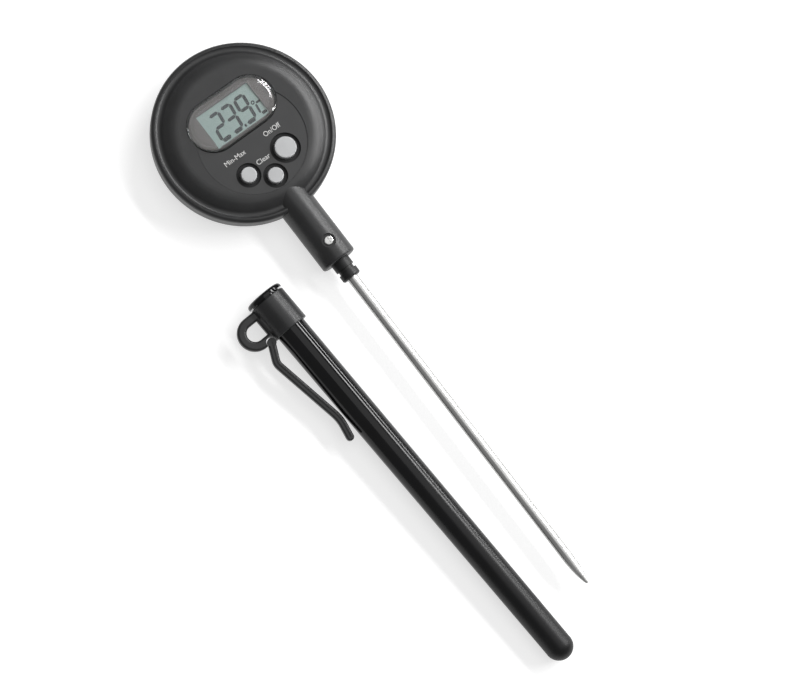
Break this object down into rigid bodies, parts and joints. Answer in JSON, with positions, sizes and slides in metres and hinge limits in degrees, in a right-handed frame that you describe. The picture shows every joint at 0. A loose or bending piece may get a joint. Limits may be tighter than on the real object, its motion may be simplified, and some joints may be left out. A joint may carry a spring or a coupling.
{
  "type": "darkroom thermometer",
  "caption": "Pocket digital probe thermometer with a round display head and pointed steel stem, lying beside its clip-on sheath with lanyard loop.",
  "frame": {"origin": "centre of the round head, in the plane of its flat back", "axes": "+Z out of the display face, +X to the display's right, probe along -Y"},
  "size_m": [0.073, 0.2289, 0.0148],
  "materials": {
    "shell_plastic": "fine spark-eroded satin",
    "label_film": "satin printed film",
    "window_clear": "polished clear acrylic",
    "mask_print": "satin print",
    "lcd_panel": "grey-green reflective display",
    "reflector_foil": "diffuse",
    "connector_rubber": "matte",
    "black_silicone": "matte",
    "button_plastic": "fine satin",
    "carbon_pill": "matte",
    "board_laminate": "solder mask",
    "screw_steel": "plated",
    "black_resin": "cured resin",
    "crystal_can": "satin",
    "ceramic_parts": "ceramic",
    "cell_steel": "pressed and polished",
    "contact_metal": "spring brass",
    "holder_plastic": "satin",
    "probe_steel": "polished, satin towards the tip",
    "sensor_glass": "glass bead",
    "lead_insulation": "smooth insulation",
    "sleeve_plastic": "shrink sleeve",
    "sheath_gloss": "polished black",
    "clip_matte": "fine satin",
    "legend_print": "screen print",
    "lcd_segments": "display segments"
  },
  "bodies": {
    "thermometer": {"front_housing": "shell_plastic", "back_cover": "shell_plastic", "face_label": "label_film", "display_window": "window_clear", "display_mask": "mask_print", "lcd_glass": "lcd_panel", "lcd_reflector": "reflector_foil", "lcd_connectors": "connector_rubber", "keypad_mat": "black_silicone", "power_dome": "black_silicone", "min_max_dome": "black_silicone", "clear_dome": "black_silicone", "back_cover_seal": "black_silicone", "probe_seal": "black_silicone", "circuit_board": "board_laminate", "board_screws": "screw_steel", "back_cover_screws": "screw_steel", "neck_screw": "screw_steel", "chip_blob": "black_resin", "tip_potting": "black_resin", "crystal": "crystal_can", "board_components": "ceramic_parts", "button_cell": "cell_steel", "battery_spring_contact": "contact_metal", "battery_side_contact": "contact_metal", "probe_holder": "holder_plastic", "probe_tube": "probe_steel", "sensor_bead": "sensor_glass", "sensor_leads": "lead_insulation", "lead_sleeves": "sleeve_plastic"},
    "power_key": {"power_button": "button_plastic", "power_contact_pill": "carbon_pill"},
    "min_max_key": {"min_max_button": "button_plastic", "min_max_contact_pill": "carbon_pill"},
    "clear_key": {"clear_button": "button_plastic", "clear_contact_pill": "carbon_pill"},
    "battery_cap_body": {"battery_cap": "shell_plastic", "battery_cap_seal": "black_silicone"},
    "sheath": {"sheath_tube": "sheath_gloss", "clip_collar": "clip_matte"},
    "clip_arm": {"pocket_clip": "clip_matte"}
  },
  "joints": [
    {"name": "power_press", "type": "slide", "parent": "thermometer", "child": "power_key", "axis": [0, 0, -1], "range_m": [0, 0.0006], "stiffness_N_per_m": 400, "deforming": ["power_dome"]},
    {"name": "min_max_press", "type": "slide", "parent": "thermometer", "child": "min_max_key", "axis": [0, 0, -1], "range_m": [0, 0.0006], "stiffness_N_per_m": 400, "deforming": ["min_max_dome"]},
    {"name": "clear_press", "type": "slide", "parent": "thermometer", "child": "clear_key", "axis": [0, 0, -1], "range_m": [0, 0.0006], "stiffness_N_per_m": 400, "deforming": ["clear_dome"]},
    {"name": "cap_turn", "type": "hinge", "parent": "thermometer", "child": "battery_cap_body", "pos_m": [0, 0.0095, 0], "axis": [0, 0, -1], "range_deg": [0, 75]},
    {"name": "sheath_pull", "type": "slide", "parent": "thermometer", "child": "sheath", "axis": [0.0502, -0.9987, 0], "range_m": [0, 0.15]},
    {"name": "clip_flex", "type": "hinge", "parent": "sheath", "child": "clip_arm", "pos_m": [-0.03422, -0.06021, 0.00647], "axis": [-0.0007, 0.013, -0.9999], "range_deg": [0, 8], "stiffness_Nm_per_rad": 0.02}
  ]
}
